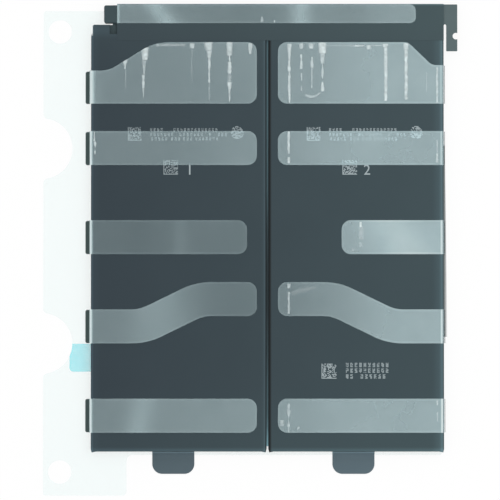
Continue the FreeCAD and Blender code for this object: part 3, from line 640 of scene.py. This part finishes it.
# %% [markdown]
# ## Geometry Nodes
#
# What repeats on this pack is small: runs of trapped air, and rows of laser dots. Both are made by Geometry
# Nodes. A tree is built in the script, its inputs are named, and it runs on a carrier object that is thrown
# away once its result is a plain mesh.

# %% Helpers for geometry trees
def start_tree(name, inputs):
    """A geometry tree with named inputs. Gives the tree, its inputs and its output node."""
    tree = bpy.data.node_groups.new(name, "GeometryNodeTree")
    tree.interface.new_socket("Geometry", in_out="INPUT", socket_type="NodeSocketGeometry")
    for label, kind in inputs.items():
        tree.interface.new_socket(label, in_out="INPUT", socket_type="NodeSocket" + kind)
    tree.interface.new_socket("Geometry", in_out="OUTPUT", socket_type="NodeSocketGeometry")
    return tree, add(tree, "NodeGroupInput").outputs, add(tree, "NodeGroupOutput")


def move(tree, geometry, **where):
    """The geometry with its points at another Position, or moved by an Offset."""
    return add(tree, "GeometryNodeSetPosition", {"Geometry": geometry, **where}).outputs["Geometry"]


def logic(tree, operation, first, second):
    """The result of a Boolean Math node."""
    return add(tree, "FunctionNodeBooleanMath", {0: first, 1: second}, operation=operation).outputs[0]


def end_tree(tree, geometry, material, result):
    """Ends a tree: its instances become real, and they take the material."""
    whole = add(tree, "GeometryNodeRealizeInstances", {"Geometry": geometry}).outputs["Geometry"]
    dressed = add(tree, "GeometryNodeSetMaterial", {"Geometry": whole, "Material": material})
    tree.links.new(dressed.outputs["Geometry"], result.inputs["Geometry"])
    print("nodes in the tree", tree.name, "are", len(tree.nodes))


def grow(tree, base, values):
    """Runs a tree on a mesh, with values for its named inputs, and gives the plain mesh that it makes."""
    carrier = bpy.data.objects.new(tree.name, base)
    scene.collection.objects.link(carrier)
    modifier = carrier.modifiers.new(tree.name, "NODES")
    modifier.node_group = tree
    for item in tree.interface.items_tree:
        if item.name in values:
            modifier[item.identifier] = values[item.name]
    evaluated = carrier.evaluated_get(bpy.context.evaluated_depsgraph_get())
    made = bpy.data.meshes.new_from_object(evaluated)
    bpy.data.objects.remove(carrier)
    return made


print("geometry trees so far:", len(bpy.data.node_groups))

# %% [markdown]
# ### Trapped air
#
# Where the film didn't meet the cell, air stayed in runs: wide at the strip's upper edge, then thin and
# beaded. A run could be painted, but then it would be flat in other views. Here each run is a line with a
# width at its points. The tree samples the line, lets it sway, makes its width uneven, sweeps a ring along it
# and flattens the tube to a low ridge. What lies beyond the strip is drawn back to its edge. How dense the
# air looks is stored on the ridge, from full at its crest to nothing at its sides.

# %% Build the tree for trapped air
# How far up the face of a ridge has to turn before air shows on it.
SOFT_FROM = 0.2
BEAD_DETAIL = 2.0
NOISE_MIDDLE = 0.5
# The width of a run is multiplied by a number between these widths while the noise lies in this range.
BEAD_WIDTHS, BEAD_NOISE = (0.1, 1.3), (0.35, 0.65)

air_tree, given, result = start_tree("trapped_air", {
    "Step": "Float", "Level": "Float", "Flatness": "Float", "Bead Length": "Float", "Sway": "Float",
    "Seed": "Float", "Ring Points": "Int", "Strip": "Object", "Material": "Material"})
run = add(air_tree, "GeometryNodeMeshToCurve", {"Mesh": given["Geometry"]}).outputs["Curve"]
even = add(air_tree, "GeometryNodeResampleCurve", {"Curve": run, "Length": given["Step"]}, mode="LENGTH")
width, beading, density = (
    add(air_tree, "GeometryNodeInputNamedAttribute", {"Name": name}, data_type="FLOAT").outputs["Attribute"]
    for name in ("half_width", "beading", "density"))
place = add(air_tree, "GeometryNodeInputPosition").outputs["Position"]
often = calc(air_tree, "DIVIDE", 1.0, given["Bead Length"])
beads = add(air_tree, "ShaderNodeTexNoise", {"Vector": place, "W": given["Seed"], "Scale": often,
                                             "Detail": BEAD_DETAIL}, noise_dimensions="4D").outputs
off_line = calc(air_tree, "SUBTRACT", split(air_tree, beads["Color"])["Y"], NOISE_MIDDLE)
sway = join(air_tree, X=calc(air_tree, "MULTIPLY", off_line, given["Sway"]))
bent = move(air_tree, even.outputs["Curve"], Offset=sway)
swell = remap(air_tree, beads["Fac"], *BEAD_WIDTHS, *BEAD_NOISE)
uneven = add(air_tree, "ShaderNodeMix", {0: beading, 2: 1.0, 3: swell}, data_type="FLOAT").outputs[0]
radius = calc(air_tree, "MULTIPLY", width, uneven)
ring = add(air_tree, "GeometryNodeCurvePrimitiveCircle", {"Resolution": given["Ring Points"], "Radius": 1.0})
tube = add(air_tree, "GeometryNodeCurveToMesh", {"Curve": bent, "Profile Curve": ring.outputs["Curve"],
                                                 "Scale": radius, "Fill Caps": True})
facing = split(air_tree, add(air_tree, "GeometryNodeInputNormal").outputs[0])["Z"]
crest = remap(air_tree, facing, 0.0, 1.0, SOFT_FROM, interpolation_type="SMOOTHSTEP")
air = calc(air_tree, "MULTIPLY", crest, density)
stored = add(air_tree, "GeometryNodeStoreNamedAttribute", {"Geometry": tube.outputs["Mesh"], "Name": "air",
                                                           "Value": air}, data_type="FLOAT")
height = split(air_tree, place)["Z"]
above = calc(air_tree, "SUBTRACT", height, given["Level"])
lower = calc(air_tree, "MULTIPLY", above, calc(air_tree, "SUBTRACT", given["Flatness"], 1.0))
ridge = move(air_tree, stored.outputs["Geometry"], Offset=join(air_tree, Z=lower))
film = add(air_tree, "GeometryNodeObjectInfo", {"Object": given["Strip"]}).outputs["Geometry"]
nearest = add(air_tree, "GeometryNodeProximity", {"Geometry": film}, target_element="FACES")
beside = split(air_tree, nearest.outputs["Position"])
trimmed = move(air_tree, ridge, Position=join(air_tree, X=beside["X"], Y=beside["Y"], Z=height))
end_tree(air_tree, trimmed, given["Material"], result)

# %% [markdown]
# The runs are listed in millimetres: how far in from the strip's inner end they lie, where they start and end
# below its upper edge, their width at both ends, how beaded they are and how dense they look.
# Painted glints run the other way, as thin white lines of the same air along the upper edge, and hooks go
# through several points.

# %% Place the air runs
air_runs = {
    "left_strip_1": [
        (39.6, 4.7, 8.2, 1.82, 0.54, 0.4, 0.6), (39.4, 8.2, 13.8, 0.45, 0.27, 0.3, 0.23),
        (33.6, 1.5, 5.4, 2.47, 1.89, 0.1, 0.64), (33.9, 5.4, 9.8, 1.3, 0.81, 0.3, 0.41),
        (34.1, 9.8, 14.0, 1.56, 1.22, 0.9, 0.52), (34.1, 14.0, 16.6, 0.78, 0.27, 0.3, 0.45),
        (19.5, 0.3, 1.9, 1.69, 1.49, 0.1, 0.54), (19.5, 1.9, 12.2, 0.39, 0.27, 0.3, 0.18),
        (14.5, 0.0, 2.6, 2.73, 2.03, 0.1, 0.64), (14.3, 2.6, 4.8, 1.82, 1.08, 0.1, 0.64),
        (14.3, 4.8, 12.3, 1.04, 0.74, 0.8, 0.56), (14.3, 12.3, 17.4, 0.52, 0.41, 0.3, 0.23),
        (8.2, 0.0, 4.1, 1.95, 1.76, 0.1, 0.6), (8.2, 4.1, 9.5, 1.43, 1.35, 0.8, 0.68),
        (8.2, 9.5, 12.0, 1.17, 1.08, 0.3, 0.32), (8.2, 12.0, 14.2, 1.3, 0.94, 1.0, 0.6),
        (8.2, 14.2, 17.9, 0.78, 0.47, 0.3, 0.5), (2.0, 0.3, 3.7, 1.69, 0.68, 0.2, 0.56)],
    "right_strip_1": [
        (3.45, 0.5, 2.4, 1.69, 1.22, 0.1, 0.68), (3.45, 2.2, 18.2, 0.98, 0.88, 0.5, 0.64),
        (7.0, 0.4, 2.1, 1.56, 1.22, 0.1, 0.56), (7.0, 3.6, 8.1, 0.78, 1.08, 0.5, 0.6),
        (7.1, 9.2, 11.7, 0.78, 0.54, 0.3, 0.45), (7.1, 13.0, 14.8, 0.65, 0.68, 0.3, 0.41),
        (10.0, 0.4, 2.0, 1.95, 1.49, 0.1, 0.6), (10.2, 4.4, 7.8, 0.91, 1.08, 0.4, 0.52),
        (10.2, 7.8, 14.0, 0.59, 0.68, 0.7, 0.45), (13.4, 0.1, 3.4, 2.73, 2.29, 0.1, 0.72),
        (13.4, 3.3, 6.6, 1.69, 1.22, 0.2, 0.54), (13.4, 6.5, 11.0, 0.91, 1.08, 0.8, 0.56),
        (13.4, 11.9, 14.9, 1.04, 1.08, 0.4, 0.64), (27.3, 0.9, 2.2, 1.69, 1.22, 0.1, 0.54),
        (32.3, 0.5, 1.6, 2.21, 1.62, 0.1, 0.64), (32.4, 1.4, 17.7, 1.3, 1.08, 0.15, 0.64),
        (38.5, 0.3, 2.3, 1.95, 1.49, 0.1, 0.68), (38.5, 2.1, 17.4, 1.1, 1.08, 0.3, 0.68),
        (44.6, 9.0, 15.0, 0.45, 0.41, 0.9, 0.27), (47.8, 7.4, 18.4, 0.65, 0.74, 0.3, 0.56)],
    "left_strip_2": [
        (48.8, 0.2, 3.0, 0.52, 0.68, 0.9, 0.54), (48.6, 3.0, 7.0, 0.78, 0.41, 1.0, 0.54)],
    "right_strip_2": [
        (3.25, 0.1, 6.9, 0.91, 1.01, 0.5, 0.6), (3.25, 7.8, 9.7, 0.91, 0.94, 0.2, 0.6),
        (47.8, 2.6, 6.6, 0.52, 0.54, 0.6, 0.45), (47.8, 6.6, 9.5, 0.59, 0.81, 0.3, 0.56)],
    "right_strip_3": [
        (5.75, 0.5, 2.2, 0.91, 0.81, 0.1, 0.76), (5.9, 2.0, 5.8, 1.82, 1.62, 0.2, 0.32),
        (5.75, 6.6, 8.0, 1.17, 0.94, 0.2, 0.27), (3.4, 8.4, 9.4, 1.17, 0.81, 0.1, 0.23)],
    "right_strip_4": [
        (3.25, 0.5, 1.9, 1.3, 1.08, 0.2, 0.5), (3.25, 2.9, 9.5, 0.91, 1.01, 0.5, 0.5)],
    "right_strip_5": [
        (3.2, 1.5, 4.2, 1.17, 1.08, 0.8, 0.4), (3.2, 4.2, 10.0, 1.04, 1.22, 1.0, 0.45),
        (1.25, 6.4, 8.2, 1.69, 1.35, 0.3, 0.42), (6.1, 8.3, 9.3, 0.78, 0.68, 0.1, 0.38),
        (47.8, 0.4, 2.0, 0.65, 0.68, 0.2, 0.54), (47.8, 3.9, 6.8, 0.65, 0.61, 0.6, 0.41)],
    "board_adhesive_strip": [
        (46.2, 3.7, 5.4, 1.6, 1.0, 0.6, 0.45), (42.5, 4.7, 5.5, 0.39, 0.41, 0.1, 0.54)],
}
# Painted glints along the upper edge: from and to, in from the inner end, below the upper edge, width and
# density.
air_glints = {
    "left_strip_1": [(30.3, 21.6, 0.9, 0.9, 0.30)],
    "right_strip_1": [(14.7, 25.8, 1.1, 0.4, 0.30), (23.1, 25.9, 1.1, 0.6, 0.50),
                      (27.9, 31.2, 1.0, 0.4, 0.40)],
}
# Hooks: their points in from the inner end and below the upper edge, each with a width, then how beaded and
# how dense they are.
air_hooks = {
    "right_strip_1": [(((8.2, 15.7, 0.5), (8.9, 16.2, 1.0), (9.9, 16.5, 1.3), (11.0, 16.3, 0.9),
                        (12.0, 15.8, 0.6), (12.9, 15.1, 0.4)), 0.3, 0.42)],
    "right_strip_4": [(((4.2, 3.6, 1.6), (6.5, 2.6, 1.8), (11.5, 1.6, 0.8)), 0.2, 0.13)],
}
print("runs, creases and hooks:", [sum(map(len, k.values())) for k in (air_runs, air_glints, air_hooks)])

# %% Grow the air on the strips
AIR_STEP = 0.25 * MM
AIR_LEVEL = 0.003 * MM
AIR_HEADROOM = 0.05 * MM
AIR_FLATNESS = 0.035
BEAD_LENGTH = 1.5 * MM
AIR_SWAY = 0.4 * MM
# How beaded the painted glints are.
GLINT_BEADING = 0.3
# The soft sides of a run reach past the width that shows.
AIR_SPREAD = 1.12
RING_POINTS = 12


def air_level(node):
    """The height of the air on a strip: just over the film, or lower where the film tops the pack."""
    return min(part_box(node)[1].z + AIR_LEVEL, cad_high.z - AIR_HEADROOM)


def air_lines(node):
    """A mesh of lines, one for each run of air on a strip, with the width and density at their points."""
    low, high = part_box(node)
    toward_outer = 1.0 if node.startswith("right") else -1.0
    inner = low.x if node.startswith("right") else high.x
    lines = [(((across, start, first), (across, end, last)), beading, density)
             for across, start, end, first, last, beading, density in air_runs[node]]
    lines += [(((start, down, width), (end, down, width)), GLINT_BEADING, density)
              for start, end, down, width, density in air_glints.get(node, [])]
    lines += air_hooks.get(node, [])
    points, edges, values = [], [], []
    for route, beading, density in lines:
        edges += [(len(points) + i, len(points) + i + 1) for i in range(len(route) - 1)]
        for across, down, width in route:
            points.append((inner + toward_outer * across * MM, high.y - down * MM, air_level(node)))
            values.append((width / 2 * AIR_SPREAD * MM, beading, density))
    mesh = bpy.data.meshes.new(node + "_air")
    mesh.from_pydata(points, edges, [])
    for name, column in zip(("half_width", "beading", "density"), zip(*values)):
        mesh.attributes.new(name, "FLOAT", "POINT").data.foreach_set("value", column)
    return mesh


for seed, node in enumerate(air_runs):
    grown = grow(air_tree, air_lines(node), {
        "Step": AIR_STEP, "Level": air_level(node), "Flatness": AIR_FLATNESS, "Bead Length": BEAD_LENGTH,
        "Sway": AIR_SWAY, "Seed": float(seed), "Ring Points": RING_POINTS, "Strip": strips[node],
        "Material": air_finish})
    grown.shade_smooth()
    show(node + "_air", grown, air_finish, "adhesive_film")
    print(node, "air faces:", len(grown.polygons))

# %% [markdown]
# ## Laser marks
#
# Cells are marked by a laser: squares of dots that a machine reads, rows of small characters and a cell
# number. This part carries no real marks, so all dots are drawn by chance with a fixed seed, and say nothing.
# One tree makes them all: a grid of dots, of which some are left out. Squares keep two full sides, rows have
# a gap after every few columns, and a round field leaves out what lies too far from its middle.

# %% Build the tree for laser dots
# How many columns stay empty after each group of dots.
LETTER_GAP = 2

dots_tree, given, result = start_tree("laser_dots", {
    "Columns": "Int", "Rows": "Int", "Pitch": "Float", "Dot": "Float", "Thickness": "Float", "Group": "Int",
    "Border": "Int", "Reach": "Float", "Fill": "Float", "Seed": "Int", "Middle": "Vector",
    "Material": "Material"})
sizes = [calc(dots_tree, "MULTIPLY", calc(dots_tree, "SUBTRACT", given[count], 1.0), given["Pitch"])
         for count in ("Columns", "Rows")]
field = add(dots_tree, "GeometryNodeMeshGrid", {"Size X": sizes[0], "Size Y": sizes[1],
                                                "Vertices X": given["Columns"], "Vertices Y": given["Rows"]})
place = add(dots_tree, "GeometryNodeInputPosition").outputs["Position"]
numbers = []
for axis, size in zip("XY", sizes):
    from_edge = calc(dots_tree, "ADD", split(dots_tree, place)[axis], calc(dots_tree, "MULTIPLY", size, 0.5))
    numbers.append(calc(dots_tree, "ROUND", calc(dots_tree, "DIVIDE", from_edge, given["Pitch"])))
within = calc(dots_tree, "MODULO", numbers[0], given["Group"])
# The limit lies half way between two columns, so that rounding can't move it.
last = calc(dots_tree, "SUBTRACT", given["Group"], LETTER_GAP + 0.5)
inside = calc(dots_tree, "LESS_THAN", within, last)
off_middle = add(dots_tree, "ShaderNodeVectorMath", {0: place}, operation="LENGTH").outputs["Value"]
reached = calc(dots_tree, "LESS_THAN", off_middle, given["Reach"])
border = calc(dots_tree, "LESS_THAN", calc(dots_tree, "MINIMUM", *numbers), given["Border"])
chance = add(dots_tree, "FunctionNodeRandomValue", {"Probability": given["Fill"], "Seed": given["Seed"]},
             data_type="BOOLEAN").outputs[3]
drawn = logic(dots_tree, "OR", border, chance)
kept = logic(dots_tree, "AND", drawn, logic(dots_tree, "AND", inside, reached))
size = join(dots_tree, X=given["Dot"], Y=given["Dot"], Z=given["Thickness"])
dot = add(dots_tree, "GeometryNodeMeshCube", {"Size": size}).outputs["Mesh"]
spread = add(dots_tree, "GeometryNodeInstanceOnPoints", {"Points": field.outputs["Mesh"], "Selection": kept,
                                                         "Instance": dot})
moved = add(dots_tree, "GeometryNodeTransform", {"Geometry": spread.outputs["Instances"],
                                                 "Translation": given["Middle"]})
end_tree(dots_tree, moved.outputs["Geometry"], given["Material"], result)

# %% [markdown]
# A laser bleaches the nylon, so the marks are pale and matt. Under the film of the second strips their tone
# carries painted light and shade: a little darker at the left, and much lighter at the right, which makes up
# for the shade that the hazier film casts on them there.

# %% Finish the marks
# What the tone is multiplied by under the film, at the left and at the right end of the pack: painted light
# and shade.
FILM_PAINTED_LIGHT = (0.93, 1.81)
MARKED = {"IOR": 1.5, "Specular IOR Level": 0.2}

mark_finish, tree, shader, _ = start_finish("laser_bleached_nylon", "#98a5a9", "#a9b5b8", 1.0, 0.20, 0.002,
                                            (0.55, 0.65), MARKED)
film_low, film_high = (corner.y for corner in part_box("right_strip_2"))
place = object_place(tree)
covered = calc(tree, "COMPARE", place["Y"], (film_low + film_high) / 2, (film_high - film_low) / 2)
gain = remap(tree, place["X"], *FILM_PAINTED_LIGHT, cad_low.x, cad_high.x)
multiply_tone(tree, shader, remap(tree, covered, 1.0, gain))
print("marks lie under film between, in mm:", round(film_low / MM, 2), round(film_high / MM, 2))

# %% Place the marks
MARK_THICKNESS = 0.008 * MM
CODE_COLUMNS, CODE_FILL = 16, 0.48
LETTER_COLUMNS, LETTER_ROWS, LETTER_FILL = 5, 5, 0.80
ROUND_COLUMNS, ROUND_FILL = 12, 0.62
# Dots as a share of their pitch on the left and on the right cell, and what multiplies it in rows.
LEFT_DOT, RIGHT_DOT, ROW_DOT = 0.78, 0.92, 0.88
# Squares: middle across and along from the cell's middle, and side, in millimetres.
upper_squares = [(-13.05, 32.8, 4.1), (-2.2, 22.75, 4.4)]
lower_square = (-8.45, -38.4, 4.5)
# The round field, by its middle and how wide it is.
round_field = (17.8, 33.2, 3.9)
# Rows: left end, middle along, height of a row and the words in it, by start and number of characters.
upper_rows = [
    (-8.4, 34.0, 1.05, [(0.0, 4), (7.0, 13)]),
    (-8.4, 32.6, 1.05, [(0.0, 7), (8.8, 2), (11.0, 5), (17.7, 1), (20.3, 3)]),
    (-8.4, 31.3, 1.05, [(0.3, 5), (6.3, 3), (9.9, 3), (13.5, 7)]),
]
lower_rows = [(-3.4, -36.55, 1.33, [(0.0, 10)]), (-3.4, -38.25, 1.33, [(0.0, 10)]),
              (-3.4, -40.0, 1.33, [(0.0, 2), (4.4, 6)])]
# How far the marks lie off the middle of their cell, in millimetres.
MARK_SHIFTS = {"left_cell": -0.2, "right_cell": 0.3}


def dots(across, along, columns, rows, pitch, dot, seed, **limits):
    """A field of dots on a cell's face. Places and sizes are in millimetres, and dot is a share of pitch."""
    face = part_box("left_cell")[1].z
    middle = Vector((across * MM, along * MM, face + MARK_THICKNESS / 2))
    values = {"Columns": columns, "Rows": rows, "Pitch": pitch * MM, "Dot": pitch * dot * MM, "Seed": seed,
              "Thickness": MARK_THICKNESS, "Middle": middle, "Material": mark_finish}
    return grow(dots_tree, bpy.data.meshes.new("dots"), {**values, **limits})


def cell_marks(cell, squares, rows, dot):
    """All dots on one cell, as a list of meshes."""
    low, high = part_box(cell)
    middle = (low.x + high.x) / 2 / MM + MARK_SHIFTS[cell]
    # A reach that leaves no dot out. Each field has a seed of its own, by its number and its cell.
    far = high.y
    made = []
    for across, along, side in squares:
        made.append(dots(middle + across, along, CODE_COLUMNS, CODE_COLUMNS, side / CODE_COLUMNS, dot,
                         len(made) + int(middle), Group=CODE_COLUMNS + LETTER_GAP, Border=1, Reach=far,
                         Fill=CODE_FILL))
    across, along, wide = round_field
    made.append(dots(middle + across, along, ROUND_COLUMNS, ROUND_COLUMNS, wide / ROUND_COLUMNS, dot,
                     len(made) + int(middle), Group=ROUND_COLUMNS + LETTER_GAP, Border=0,
                     Reach=wide / 2 * MM, Fill=ROUND_FILL))
    for left, along, tall, words in rows:
        pitch = tall / LETTER_ROWS
        for start, letters in words:
            columns = letters * LETTER_COLUMNS
            made.append(dots(middle + left + start + columns * pitch / 2, along, columns, LETTER_ROWS, pitch,
                             dot * ROW_DOT, len(made) + int(middle), Group=LETTER_COLUMNS, Border=0,
                             Reach=far, Fill=LETTER_FILL))
    return made


def joined(meshes):
    """One mesh made of several."""
    whole = bmesh.new()
    for mesh in meshes:
        whole.from_mesh(mesh)
    made = bpy.data.meshes.new("joined")
    whole.to_mesh(made)
    whole.free()
    return made


left_marks = cell_marks("left_cell", upper_squares, upper_rows, LEFT_DOT)
right_marks = cell_marks("right_cell", [*upper_squares, lower_square], [*upper_rows, *lower_rows], RIGHT_DOT)
print("fields of dots:", len(left_marks), len(right_marks))

# %% [markdown]
# The cell number is a plain numeral. Blender's own text object makes it, and it becomes a mesh before it is
# laid on the cell.

# %% Number the cells and show the marks
NUMERAL_HEIGHT = 3.0
NUMERAL_PLACE = (3.3, 22.05)


def numeral(cell, figure):
    """A flat numeral on the face of a cell."""
    curve = bpy.data.curves.new("numeral", "FONT")
    curve.body = figure
    carrier = bpy.data.objects.new("numeral", curve)
    scene.collection.objects.link(carrier)
    mesh = bpy.data.meshes.new_from_object(carrier.evaluated_get(bpy.context.evaluated_depsgraph_get()))
    bpy.data.objects.remove(carrier)
    flat = bmesh.new()
    flat.from_mesh(mesh)
    least, most = (Vector([pick(v.co[axis] for v in flat.verts) for axis in range(3)]) for pick in (min, max))
    low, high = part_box(cell)
    target = Vector(((low.x + high.x) / 2 + NUMERAL_PLACE[0] * MM, NUMERAL_PLACE[1] * MM, high.z))
    for vertex in flat.verts:
        vertex.co = target + (vertex.co - (least + most) / 2) * NUMERAL_HEIGHT * MM / (most.y - least.y)
    raised = bmesh.ops.extrude_face_region(flat, geom=flat.faces[:], use_keep_orig=True)["geom"]
    for vertex in (g for g in raised if isinstance(g, bmesh.types.BMVert)):
        vertex.co.z += MARK_THICKNESS
    bmesh.ops.recalc_face_normals(flat, faces=flat.faces)
    flat.to_mesh(mesh)
    flat.free()
    return mesh


for cell, figure, marks in (("left_cell", "1", left_marks), ("right_cell", "2", right_marks)):
    piece = show(cell + "_marks", joined([*marks, numeral(cell, figure)]), mark_finish, "pouch_laminate")
    print(piece.name, "faces:", len(piece.data.polygons))
